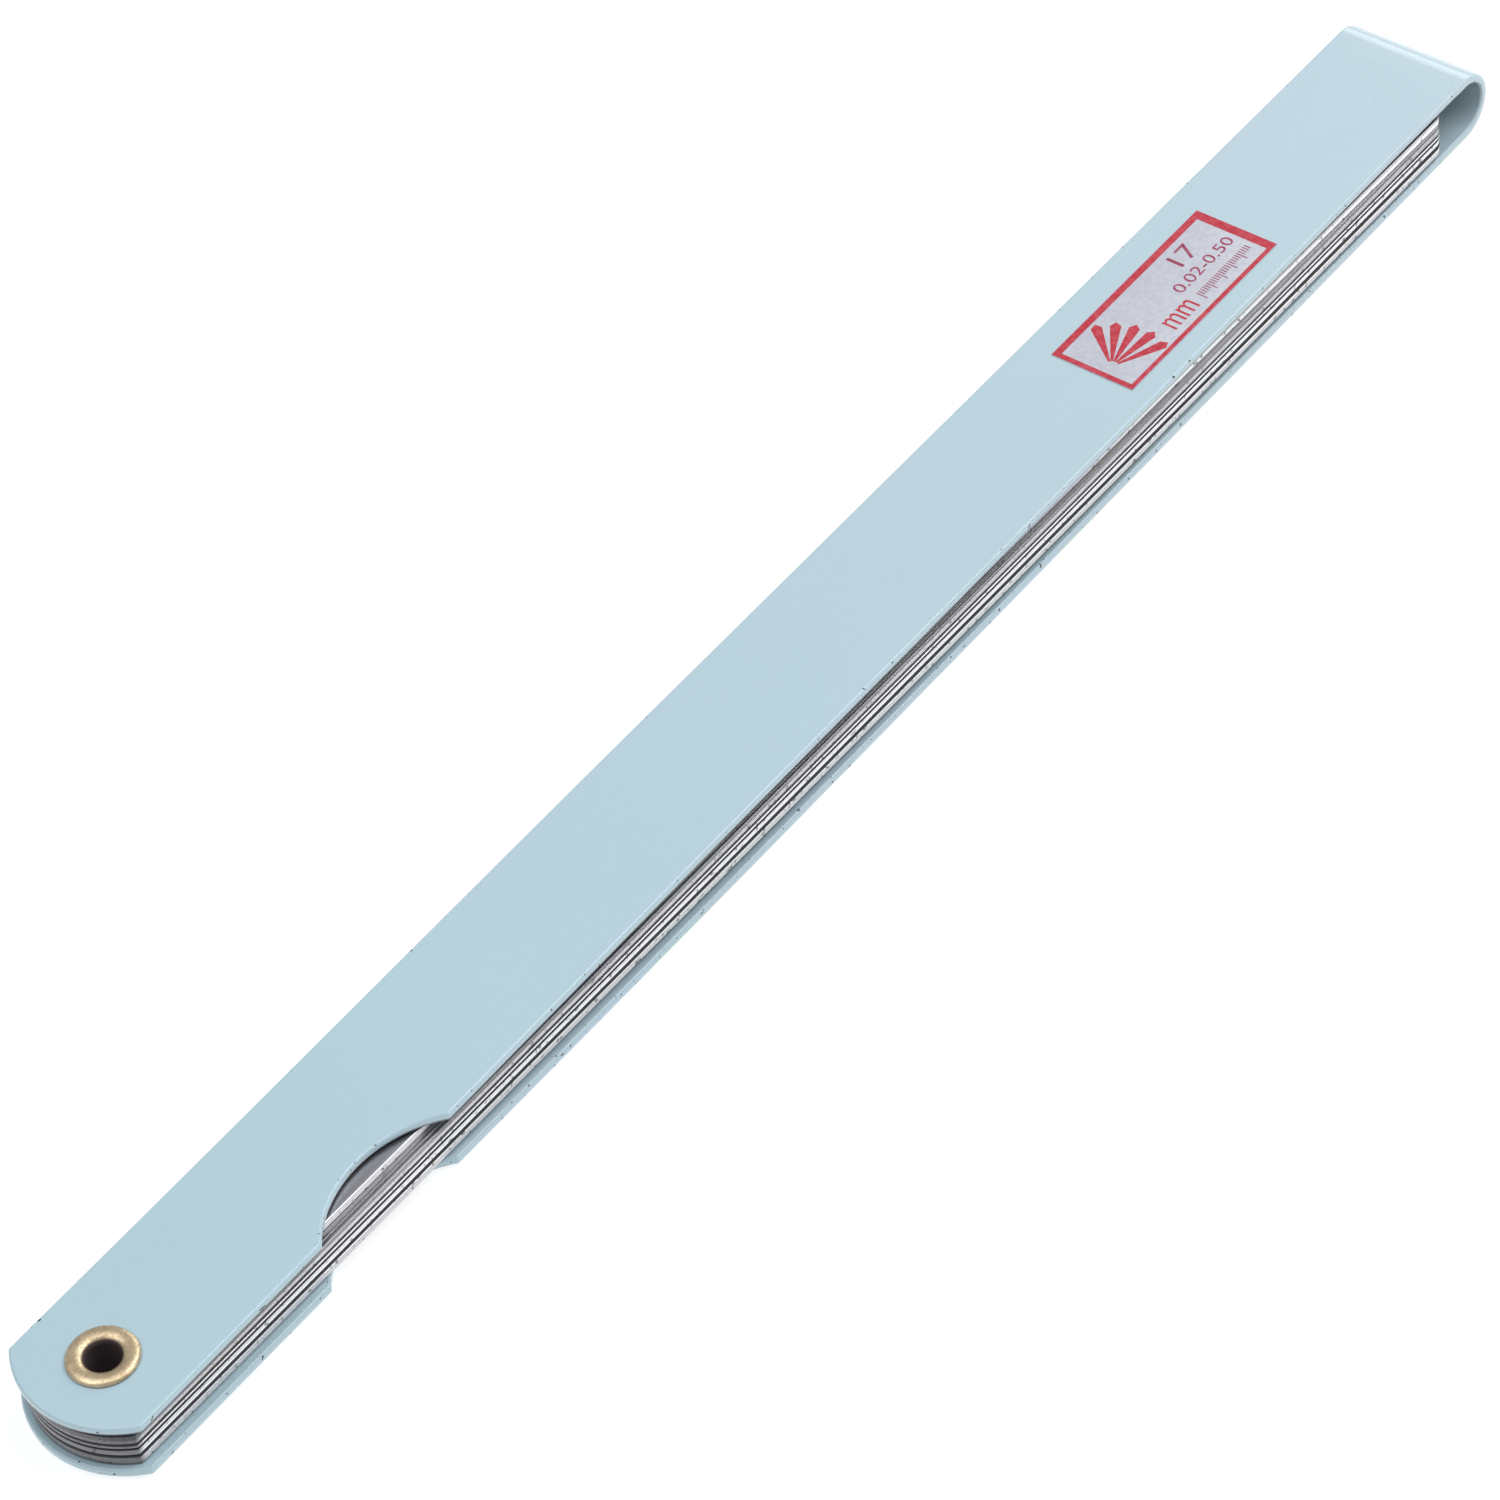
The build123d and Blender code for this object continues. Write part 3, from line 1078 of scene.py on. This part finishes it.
@dataclass
class Eyelet:
    """The hollow brass eyelet: a barrel with a rolled flange on each cover."""

    bore_radius: float = 1.33 * MM
    barrel_radius: float = 1.63 * MM
    crest_radius: float = 1.90 * MM
    mouth_radius: float = 1.22 * MM
    flange_radius: float = 2.47 * MM
    cover_z: float = 2.475 * MM
    crest_height: float = 0.40 * MM
    back_crest_height: float = 0.30 * MM
    mouth_depth: float = 0.5 * MM
    rim_height: float = 0.11 * MM
    dent_depth: float = 0.05 * MM
    dent_scale: float = 1300.0
    undented_noise: float = 0.62
    section_steps: int = 90
    turns: int = 120

    def quarter(self, start: Vector, end: Vector, steps: int, level_first: bool) -> list[Vector]:
        """Plots a quarter-ellipse.

        Args:
            start: Where it starts.
            end: Where it ends.
            steps: How many chords it has.
            level_first: Whether it is level at its start rather than at its end.

        Returns:
            Its points without the first.
        """
        points = []
        for step in range(1, steps + 1):
            angle = math.pi / 2 * step / steps
            share = Vector((1 - math.cos(angle), math.sin(angle)))
            if level_first:
                share = Vector((share.y, share.x))
            points.append(start + (end - start) * share)
        return points

    def flange(self, crest_height: float) -> list[Vector]:
        """Plots one flange's half section.

        Args:
            crest_height: How high its crest is above the cover.

        Returns:
            The section's points, from the bore over the crest to the barrel.
        """
        crest_z = self.cover_z + crest_height
        throat = Vector((self.bore_radius, crest_z - 2 * self.mouth_depth))
        mouth = Vector((self.mouth_radius, crest_z - self.mouth_depth))
        crest = Vector((self.crest_radius, crest_z))
        rim = Vector((self.flange_radius, self.cover_z + self.rim_height))
        foot = Vector((self.flange_radius - 0.05 * MM, self.cover_z + 0.005 * MM))
        points = [throat, mouth]
        points += self.quarter(mouth, crest, 14, False)
        points += self.quarter(crest, rim, 12, True)
        points += [Vector((self.flange_radius, self.cover_z + 0.06 * MM)), foot]
        return [*points, Vector((self.barrel_radius, self.cover_z + 0.005 * MM))]

    def section(self) -> Mesh:
        """Meshes the whole closed half section.

        Returns:
            A loop of edges in the XZ plane.
        """
        upper = self.flange(self.crest_height)
        back = reversed(self.flange(self.back_crest_height))
        points = [*upper, *[Vector((point.x, -point.y)) for point in back]]
        mesh = bpy.data.meshes.new("eyelet_section")
        edges = [(place, (place + 1) % len(points)) for place in range(len(points))]
        mesh.from_pydata([(point.x, 0, point.y) for point in points], edges, [])
        return mesh

    def tree(self) -> GeometryTree:
        """Makes the tree that turns the section round the pivot and dents it.

        Returns:
            The tree.
        """
        tree = GeometryTree("turn_section")
        section = tree.add("GeometryNodeMeshToCurve", {0: tree.source}).outputs[0]
        steps, turns = tree.count("Section Steps", self.section_steps), tree.count("Turns", self.turns)
        inputs = {"Size X": 1.0, "Size Y": 1.0, "Vertices X": steps, "Vertices Y": turns}
        sheet = tree.add("GeometryNodeMeshGrid", inputs).outputs[0]
        x, y, z = tree.axes()
        inputs = {"Curves": section, "Factor": tree.plus(x, 0.5)}
        sample = tree.add("GeometryNodeSampleCurve", inputs, mode="FACTOR")
        radius, _, height = tree.add("ShaderNodeSeparateXYZ", {0: sample.outputs["Position"]}).outputs
        angle = tree.times(tree.plus(y, 0.5), math.tau)
        new_x = tree.times(radius, tree.math("COSINE", angle))
        new_y = tree.times(radius, tree.math("SINE", angle))
        turned = tree.weld(tree.move(sheet, new_x, new_y, height))
        inputs = {"Vector": tree.vector(x, y, z), "Scale": tree.size("Dent Scale", self.dent_scale)}
        noise = tree.add("ShaderNodeTexNoise", inputs).outputs[0]
        depth = tree.size("Dent Depth", self.dent_depth)
        dent = tree.times(tree.minus(noise, self.undented_noise), depth)
        start = tree.size("Dents From Z", self.cover_z + 0.01 * MM)
        end = tree.size("Dents Full Z", self.cover_z + 0.15 * MM)
        dent = tree.times(dent, tree.ease(tree.math("ABSOLUTE", z), start, end))
        inputs = {0: tree.add("GeometryNodeInputNormal").outputs[0], "Scale": dent}
        push = tree.add("ShaderNodeVectorMath", inputs, operation="SCALE").outputs[0]
        inputs = {"Geometry": turned, "Offset": push}
        return tree.finish(tree.add("GeometryNodeSetPosition", inputs).outputs[0])

    def build(self) -> None:
        """Builds, dresses and settles the eyelet."""
        piece = grow("rolled_eyelet", self.tree(), self.section(), WornBrass().material())
        settle(piece, HOLDER, "eyelet_brass", "eyelet")


# ---- the leaves


def lettering(name: str, text: str, height: float, depth: float, width: float | None = None) -> Mesh:
    """Makes raised letters or figures as a mesh.

    Args:
        name: The mesh's name.
        text: What it says.
        height: The height of its figures.
        depth: How thick the letters are.
        width: How wide the whole text is, or None for its usual width.

    Returns:
        The mesh, centred on its width and height, with its back at Z 0.
    """
    curve = bpy.data.curves.new(name, "FONT")
    curve.body = text
    curve.resolution_u = 6
    curve.extrude = 0.05
    holder = bpy.data.objects.new(name, curve)
    bpy.context.scene.collection.objects.link(holder)
    mesh = baked(holder)
    bpy.data.objects.remove(holder)
    xs, ys = ([vert.co[axis] for vert in mesh.vertices] for axis in (0, 1))
    tall = height / (max(ys) - min(ys))
    wide = width / (max(xs) - min(xs)) if width else tall
    centre = Vector(((min(xs) + max(xs)) / 2, (min(ys) + max(ys)) / 2, -curve.extrude))
    size = Matrix.Diagonal((wide, tall, depth / (2 * curve.extrude), 1.0))
    mesh.transform(size @ Matrix.Translation(-centre))
    mesh.materials.clear()
    return mesh


def print_on(name: str, mesh: Mesh, ink: Material, body: str, slot: str) -> None:
    """Dresses printed or etched marks in their ink and settles them.

    Args:
        name: The piece's name.
        mesh: The marks, in the frame's coordinates.
        ink: Their material.
        body: The CAD body that they ride on.
        slot: The name of a material slot, passed on to settle.
    """
    mesh.materials.append(ink)
    settle(keep(name, mesh), body, slot)


@dataclass(frozen=True)
class LeafCut:
    """How a leaf's outline lies round its hole."""

    width: float
    shift: float = 0.0
    rim_width: float = 0.10 * MM


PLAIN_CUT = LeafCut(10.0 * MM)
THIN_CUT = LeafCut(10.0 * MM, 0.33 * MM)
CUTS = {
    "leaf_0_50": LeafCut(9.7 * MM, 0.70 * MM, 0.17 * MM),
    "leaf_0_02": THIN_CUT,
    "leaf_0_03": THIN_CUT,
    "leaf_0_04": THIN_CUT,
}


@dataclass(frozen=True)
class LeafWearAndShade:
    """How a leaf has worn and how it is shaded: its edge's and faces' painted light and shade, its rims'
    depths and the painted shade in them.
    """

    edge_tone: float
    upper_rim: float = 0.03 * MM
    lower_rim: float = 0.03 * MM
    face_tone: float = 1.0
    painted_shade: float = 1.0


# Edge tones below 1 paint shade on a leaf's edge, face tones below 1 paint shade on its faces, and the
# last number sets how much painted shade fills its rounded rims.
DEFAULT_WEAR_AND_SHADE = LeafWearAndShade(0.42)
WEAR_AND_SHADE = {
    "leaf_0_50": LeafWearAndShade(1.0, 0.12 * MM, 0.02 * MM, painted_shade=0.0),
    "leaf_0_02": LeafWearAndShade(0.42, face_tone=0.60),
    "leaf_0_05": LeafWearAndShade(0.20),
    "leaf_0_06": LeafWearAndShade(0.30),
    "leaf_0_07": LeafWearAndShade(0.12),
    "leaf_0_08": LeafWearAndShade(0.18),
    "leaf_0_09": LeafWearAndShade(0.70),
    "leaf_0_10": LeafWearAndShade(1.0, 0.02 * MM, 0.02 * MM),
    "leaf_0_15": LeafWearAndShade(0.70, 0.02 * MM, 0.08 * MM),
    "leaf_0_20": LeafWearAndShade(0.0, 0.08 * MM, 0.08 * MM),
    "leaf_0_25": LeafWearAndShade(1.0, 0.02 * MM, 0.12 * MM),
    "leaf_0_30": LeafWearAndShade(1.0, 0.14 * MM, 0.02 * MM),
    "leaf_0_35": LeafWearAndShade(1.0, 0.02 * MM, 0.16 * MM),
    "leaf_0_40": LeafWearAndShade(1.0, 0.21 * MM, 0.02 * MM),
    "leaf_0_45": LeafWearAndShade(0.66, 0.03 * MM, 0.10 * MM),
}


@dataclass
class Leaf:
    """One leaf, with its place and thickness read from its CAD node."""

    node: str
    cut: LeafCut
    thickness: float
    low_z: float
    fan_angle: float

    @classmethod
    def from_node(cls, node: str, shape: Piece) -> "Leaf":
        """Reads a leaf from its CAD node.

        Args:
            node: The node's name.
            shape: The node's object.

        Returns:
            The leaf.
        """
        low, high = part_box(node)
        cut = CUTS.get(node, PLAIN_CUT)
        tip = [vert.co for vert in shape.data.vertices if vert.co.x > 0.93 * high.x]
        corner_y = [min(point.y for point in tip), max(point.y for point in tip)]
        angle = math.atan2(sum(corner_y) / 2 - cut.shift, 0.992 * high.x)
        return cls(node, cut, high.z - low.z, low.z, angle)

    @property
    def wear_and_shade(self) -> LeafWearAndShade:
        """How the leaf's rims have worn and how its edge and faces are shaded."""
        return WEAR_AND_SHADE.get(self.node, DEFAULT_WEAR_AND_SHADE)

    @property
    def rim_share(self) -> float:
        """How much of its rims' depths a leaf has room for."""
        return min(1.0, 0.88 * self.thickness / (self.wear_and_shade.upper_rim + self.wear_and_shade.lower_rim))

    @property
    def figures(self) -> str:
        """The leaf's thickness in millimetres, as it is etched."""
        return f"{self.thickness / MM:.2f}"


@dataclass
class LeafPack:
    """The stack of steel leaves, all cut to one outline."""

    end_radius: float = 7.25 * MM
    end_centre_x: float = 2.38 * MM
    tip_x: float = 145.1 * MM
    tip_corner: float = 1.2 * MM
    end_corner: float = 0.3 * MM
    hole_radius: float = 1.7 * MM
    figure_x: float = 38.0 * MM
    figure_height: float = 3.0 * MM
    rim_shares: tuple[float, ...] = (0.0, 0.04, 0.15, 0.35, 0.65, 1.0, 1.15)

    def blank(self, cut: LeafCut) -> Blank:
        """Returns the flat outline and hole of one cut.

        Args:
            cut: How wide the leaf is and how far its outline is shifted.

        Returns:
            The blank, with the pivot at its origin.
        """
        half = cut.width / 2
        spread = math.asin(half / self.end_radius)
        centre = Vector((self.end_centre_x, cut.shift))
        end = arc(centre, self.end_radius, math.pi - spread, math.pi + spread, 40)
        near = Vector((self.tip_x, cut.shift - half))
        far = Vector((self.tip_x, cut.shift + half))
        points = rounded_corner(far, end[0], end[1], self.end_corner)
        points += end[1:-1]
        points += rounded_corner(end[-2], end[-1], near, self.end_corner)
        points += rounded_corner(end[-1], near, far, self.tip_corner, 8)
        points += rounded_corner(near, far, end[0], self.tip_corner, 8)
        outline = subdivided(points, 3 * MM)
        columns = steps_between(-self.end_radius, self.tip_x, 3 * MM)
        rows = [cut.shift + row for row in steps_between(-half, half, 2 * MM)[1:-1]]
        insets = tuple(share * cut.rim_width for share in self.rim_shares)
        return Blank(outline, [(Vector((0, 0)), self.hole_radius)], insets, grid_points(columns, rows))

    def tree(self) -> GeometryTree:
        """Makes the tree that thickens a blank and swings it into place.

        Returns:
            The tree, whose inputs are given leaf by leaf.
        """
        tree = GeometryTree("leaf_blade")
        depths = tree.size("Upper Rim Depth"), tree.size("Lower Rim Depth")
        blade = tree.thicken(tree.size("Thickness"), tree.size("Rim Width"), *depths)
        # The edge tone, face tone and scaled groove carry each leaf's painted light and shade to the
        # steel.
        blade = tree.mark(blade, "edge_tone", tree.size("Edge Tone"))
        blade = tree.mark(blade, "face_tone", tree.size("Face Tone"))
        blade = tree.mark(blade, "groove", tree.times(tree.read("groove"), tree.size("Groove Shade")))
        shift, turn = tree.vector(z=tree.size("Low Z")), tree.vector(z=tree.size("Fan Angle"))
        return tree.finish(tree.place(blade, shift, turn))

    def etch(self, leaf: Leaf, finish: Material) -> None:
        """Marks a leaf's thickness near its pivot end.

        Args:
            leaf: The leaf.
            finish: The material of the marks.
        """
        name = f"{leaf.node}_figures"
        mesh = lettering(name, leaf.figures, self.figure_height, 4 * MICRON)
        top = Matrix.Translation((self.figure_x, 0, leaf.low_z + leaf.thickness - MICRON))
        mesh.transform(Matrix.Rotation(leaf.fan_angle, 4, "Z") @ top)
        print_on(name, mesh, finish, leaf.node, "leaf_steel")

    def build(self, shapes: dict[str, Piece]) -> None:
        """Builds every leaf and its marks.

        Args:
            shapes: The frame's nodes, by name.
        """
        tree = self.tree()
        steel = GroundSteel().material()
        black = ETCHING.material()
        blanks = {cut: self.blank(cut).mesh("leaf_blank") for cut in {*CUTS.values(), PLAIN_CUT}}
        for node in sorted(name for name in shapes if name.startswith("leaf_")):
            leaf = Leaf.from_node(node, shapes[node])
            own = {
                "Thickness": leaf.thickness,
                "Rim Width": leaf.cut.rim_width,
                "Upper Rim Depth": leaf.wear_and_shade.upper_rim * leaf.rim_share,
                "Lower Rim Depth": leaf.wear_and_shade.lower_rim * leaf.rim_share,
                "Edge Tone": leaf.wear_and_shade.edge_tone,
                "Face Tone": leaf.wear_and_shade.face_tone,
                "Groove Shade": leaf.wear_and_shade.painted_shade,
                "Low Z": leaf.low_z,
                "Fan Angle": leaf.fan_angle,
            }
            piece = grow(f"{node}_blade", tree, blanks[leaf.cut], steel, own)
            settle(piece, node, "leaf_steel", node)
            self.etch(leaf, black)


# ---- the label


@dataclass
class Label:
    """The printed foil label, in place of the maker's own, with a generic picture and scale."""

    ink_depth: float = 0.012 * MM
    bleed: float = 0.03 * MM
    left_band: float = 0.45 * MM
    right_band: float = 0.78 * MM
    top_band: float = 0.58 * MM
    bottom_band: float = 0.36 * MM
    corner_radius: float = 0.2 * MM
    rim: float = 0.035 * MM
    inset_steps: tuple[float, ...] = (0.0, 0.006, 0.02, 0.04)
    fan_blades: int = 5
    ticks: int = 25
    scale_length: float = 6.1 * MM

    def __post_init__(self) -> None:
        """Reads the foil's place from its CAD node."""
        self.low, self.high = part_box("label")
        self.ink_z = self.high.z - MICRON

    def slab(self, name: str, plan: Plan, faces: Sequence[Sequence[int]], low_z: float = 0.0) -> Mesh:
        """Makes a closed slab of ink.

        Args:
            name: The mesh's name.
            plan: The corners of its plan.
            faces: The faces of its plan, as places in the list of corners.
            low_z: The height of its lower side.

        Returns:
            The mesh.
        """
        shape = bmesh.new()
        verts = [shape.verts.new((x, y, low_z)) for x, y in plan]
        for face in faces:
            shape.faces.new([verts[corner] for corner in face])
        raised = bmesh.ops.extrude_face_region(shape, geom=shape.faces[:])["geom"]
        moved = [item for item in raised if isinstance(item, BMVert)]
        bmesh.ops.translate(shape, verts=moved, vec=(0, 0, self.ink_depth))
        return from_bmesh(name, shape)

    def foil(self) -> None:
        """Builds the foil itself, with softened corners and edges."""
        low, high = self.low, self.high
        flat = [Vector(corner) for corner in rectangle(low.x, high.x, low.y, high.y)]
        points = []
        for place, corner in enumerate(flat):
            points += rounded_corner(flat[place - 1], corner, flat[(place + 1) % 4], self.corner_radius)
        blank = Blank(subdivided(points, 2 * MM), [], tuple(step * MM for step in self.inset_steps), [])
        tree = GeometryTree("label_foil")
        width, depth = tree.size("Rim Width", self.rim), tree.size("Rim Depth", self.rim)
        plate = tree.thicken(tree.size("Thickness", high.z - low.z), width, depth, depth)
        finished = tree.finish(tree.place(plate, tree.vector(z=tree.size("Low Z", low.z))))
        piece = grow("label_foil", finished, blank.mesh("foil_blank"), Foil().material())
        settle(piece, HOLDER, "label_foil", "label")

    def border(self, ink: Material) -> None:
        """Prints the border, whose four bands differ in width.

        Args:
            ink: Its material.
        """
        west, east = self.low.x + self.bleed, self.high.x - self.bleed
        south, north = self.low.y + self.bleed, self.high.y - self.bleed
        outer = rectangle(west, east, south, north)
        west, east = west + self.left_band, east - self.right_band
        south, north = south + self.bottom_band, north - self.top_band
        faces = [(side, (side + 1) % 4, (side + 1) % 4 + 4, side + 4) for side in range(4)]
        plan = [*outer, *rectangle(west, east, south, north)]
        mesh = self.slab("label_border", plan, faces, self.ink_z)
        print_on("label_border", mesh, ink, HOLDER, "label_foil")

    def figures(self, name: str, text: str, ink: Material, box: tuple[float, ...]) -> None:
        """Prints figures into a box of the label.

        Args:
            name: The piece's name.
            text: What it says.
            ink: Its material.
            box: Its low and high X and low and high Y, in millimetres from the label's corner.
        """
        west, east, south, north = (edge * MM for edge in box)
        mesh = lettering(name, text, north - south, self.ink_depth, east - west)
        x, y = self.low.x + (west + east) / 2, self.low.y + (south + north) / 2
        mesh.transform(Matrix.Translation((x, y, self.ink_z)))
        print_on(name, mesh, ink, HOLDER, "label_foil")

    def printed_row(
        self,
        name: str,
        tree: GeometryTree,
        source: Mesh,
        ink: Material,
        pose: dict[str, Any],
        count: int,
        pitch: float,
        start: tuple[float, float],
    ) -> None:
        """Prints a mesh again and again along a row, by a Geometry Nodes tree.

        Args:
            name: The piece's name.
            tree: The tree, begun by what turns or sizes each copy.
            source: The mesh.
            ink: Its material.
            pose: What turns or sizes each copy, as an input of the instances.
            count: How many copies there are.
            pitch: How far apart they are.
            start: Where the first one is from the label's corner, in millimetres.
        """
        offset = tree.vector(x=tree.size("Pitch", pitch))
        inputs = {"Count": tree.count("Count", count), "Offset": offset}
        points = tree.add("GeometryNodeMeshLine", inputs, mode="OFFSET", count_mode="TOTAL").outputs[0]
        inputs = {"Points": points, "Instance": tree.source, **pose}
        row = tree.add("GeometryNodeInstanceOnPoints", inputs).outputs[0]
        x = tree.size("Start X", self.low.x + start[0] * MM)
        y = tree.size("Start Y", self.low.y + start[1] * MM)
        finished = tree.finish(tree.place(row, tree.vector(x, y, tree.size("Low Z", self.ink_z))))
        settle(grow(name, finished, source, ink), HOLDER, "label_foil")

    def fan_picture(self, ink: Material) -> None:
        """Prints a picture of leaves that are fanned round a pivot.

        Args:
            ink: Its material.
        """
        length, root = 4.7 * MM, 0.55 * MM
        wide, narrow = 0.42 * MM, 0.085 * MM
        plan = [(root, -narrow), (length - wide, -wide), (length, 0.0)]
        plan += [(length - wide, wide), (root, narrow)]
        blade = self.slab("fan_blade", plan, [range(5)])
        tree = GeometryTree("fan_of_blades")
        number = tree.add("GeometryNodeInputIndex").outputs[0]
        first = tree.size("First Angle", math.radians(-26))
        step = tree.size("Angle Step", math.radians(19))
        pose = {"Rotation": tree.vector(z=tree.plus(first, tree.times(number, step)))}
        self.printed_row("label_fan_picture", tree, blade, ink, pose, self.fan_blades, 0.0, (1.25, 2.75))

    def tick_scale(self, ink: Material) -> None:
        """Prints a plain scale of ticks, every fifth one longer.

        Args:
            ink: Its material.
        """
        half = 0.045 * MM
        tick = self.slab("tick", rectangle(-half, half, -1 * MM, 0.0), [range(4)])
        tree = GeometryTree("tick_scale")
        number = tree.add("GeometryNodeInputIndex").outputs[0]
        fifth = tree.math("COMPARE", tree.math("MODULO", number, 5.0), 0.0, 0.1)
        long_tick, short_tick = tree.size("Long Tick", 1.0), tree.size("Short Tick", 0.6)
        length = tree.plus(short_tick, tree.times(fifth, tree.minus(long_tick, short_tick)))
        pose = {"Scale": tree.vector(1.0, length, 1.0)}
        pitch = self.scale_length / (self.ticks - 1)
        self.printed_row("label_tick_scale", tree, tick, ink, pose, self.ticks, pitch, (10.9, 2.0))

    def build(self) -> None:
        """Builds the foil and everything printed on it."""
        crimson = CRIMSON.material()
        maroon = MAROON.material()
        self.foil()
        self.border(crimson)
        self.fan_picture(crimson)
        self.figures("label_count", "17", maroon, (12.7, 14.9, 4.45, 6.0))
        self.figures("label_range", "0.02-0.50", maroon, (10.3, 17.1, 2.85, 3.85))
        self.figures("label_unit", "mm", crimson, (6.9, 10.0, 1.0, 2.3))
        self.tick_scale(maroon)


# ---- the studio


class Role(Enum):
    """What each softbox is for."""

    KEY = "key"
    FILL = "fill"
    SIDE = "side"


@dataclass(frozen=True)
class Softbox:
    """One rectangular light that looks at a point on the object."""

    role: Role
    place: tuple[float, float, float]
    size: tuple[float, float]
    watts: float
    aim: tuple[float, float, float] = (0.07, 0.0, 0.0)

    def build(self) -> None:
        """Hangs the softbox."""
        light = bpy.data.lights.new(f"{self.role.value}_softbox", "AREA")
        light.shape = "RECTANGLE"
        light.size, light.size_y = self.size
        light.energy = self.watts
        lamp = bpy.data.objects.new(light.name, light)
        bpy.context.scene.collection.objects.link(lamp)
        lamp.location = self.place
        lamp.rotation_euler = (Vector(self.aim) - Vector(self.place)).to_track_quat("-Z", "Y").to_euler()


@dataclass
class Studio:
    """The white floor, the soft light and the camera."""

    floor_z: float = -2.83 * MM
    floor_size: float = 6.0
    floor_glow: float = 0.75
    floor_light: Colour = (1.0, 1.0, 1.0, 1.0)
    floor_colour: Colour = (0.34, 0.34, 0.34, 1.0)
    camera_place: tuple[float, float, float] = (-0.14516, -0.20214, 0.30058)
    azimuth: float = -46.3247
    elevation: float = 45.8453
    roll: float = -8.2093
    lens: float = 145.876
    sensor: float = 36.0
    sky: Colour = (0.80, 0.83, 0.88, 1.0)
    sky_strength: float = 0.58

    def floor(self) -> None:
        """Lays the plain white floor."""
        half = self.floor_size / 2
        corners = rectangle(-half, half, -half, half)
        mesh = bpy.data.meshes.new("floor")
        mesh.from_pydata([(x, y, self.floor_z) for x, y in corners], [], [(0, 1, 2, 3)])
        glow = {"Emission_Color": self.floor_light, "Emission_Strength": self.floor_glow}
        shader = ShaderBuilder("white_floor")
        mesh.materials.append(shader.finish(Base_Color=self.floor_colour, Roughness=0.9, **glow))
        plane = bpy.data.objects.new("floor", mesh)
        bpy.context.scene.collection.objects.link(plane)

    def world(self) -> None:
        """Sets the even light that comes from all round."""
        world = bpy.data.worlds.new("studio")
        world.use_nodes = True
        backdrop = world.node_tree.nodes["Background"]
        backdrop.inputs["Color"].default_value = self.sky
        backdrop.inputs["Strength"].default_value = self.sky_strength
        bpy.context.scene.world = world
        bpy.context.scene.view_settings.view_transform = "Standard"

    def camera(self) -> None:
        """Places the camera from its azimuth, elevation and roll."""
        turn, tilt, roll = (math.radians(angle) for angle in (self.azimuth, self.elevation, self.roll))
        back = Vector((math.sin(turn) * math.cos(tilt), -math.cos(turn) * math.cos(tilt), math.sin(tilt)))
        level = Vector((math.cos(turn), math.sin(turn), 0))
        upright = back.cross(level)
        right = level * math.cos(roll) + upright * math.sin(roll)
        up = upright * math.cos(roll) - level * math.sin(roll)
        lens = bpy.data.cameras.new("camera")
        lens.lens = self.lens
        lens.sensor_width = self.sensor
        lens.clip_start = 0.01
        camera = bpy.data.objects.new("camera", lens)
        bpy.context.scene.collection.objects.link(camera)
        axes = Matrix((right, up, back)).transposed().to_4x4()
        camera.matrix_world = Matrix.Translation(self.camera_place) @ axes
        bpy.context.scene.camera = camera

    def build(self) -> None:
        """Sets up the whole studio."""
        self.camera()
        self.world()
        self.floor()
        Softbox(Role.KEY, (0.465, -0.34, 0.735), (0.72, 0.72), 4.9).build()
        Softbox(Role.FILL, (-0.30, 0.22, 0.85), (0.8, 0.8), 2.9).build()
        Softbox(Role.SIDE, (0.86, 0.18, 0.36), (0.45, 0.35), 1.5).build()


def main() -> None:
    """Builds the studio and every piece."""
    logging.basicConfig(level=logging.INFO, format="%(name)s: %(message)s")
    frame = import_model()
    Studio().build()
    FoldedCase().build()
    Eyelet().build()
    LeafPack().build(frame["nodes"])
    Label().build()


if __name__ == "__main__":
    main()
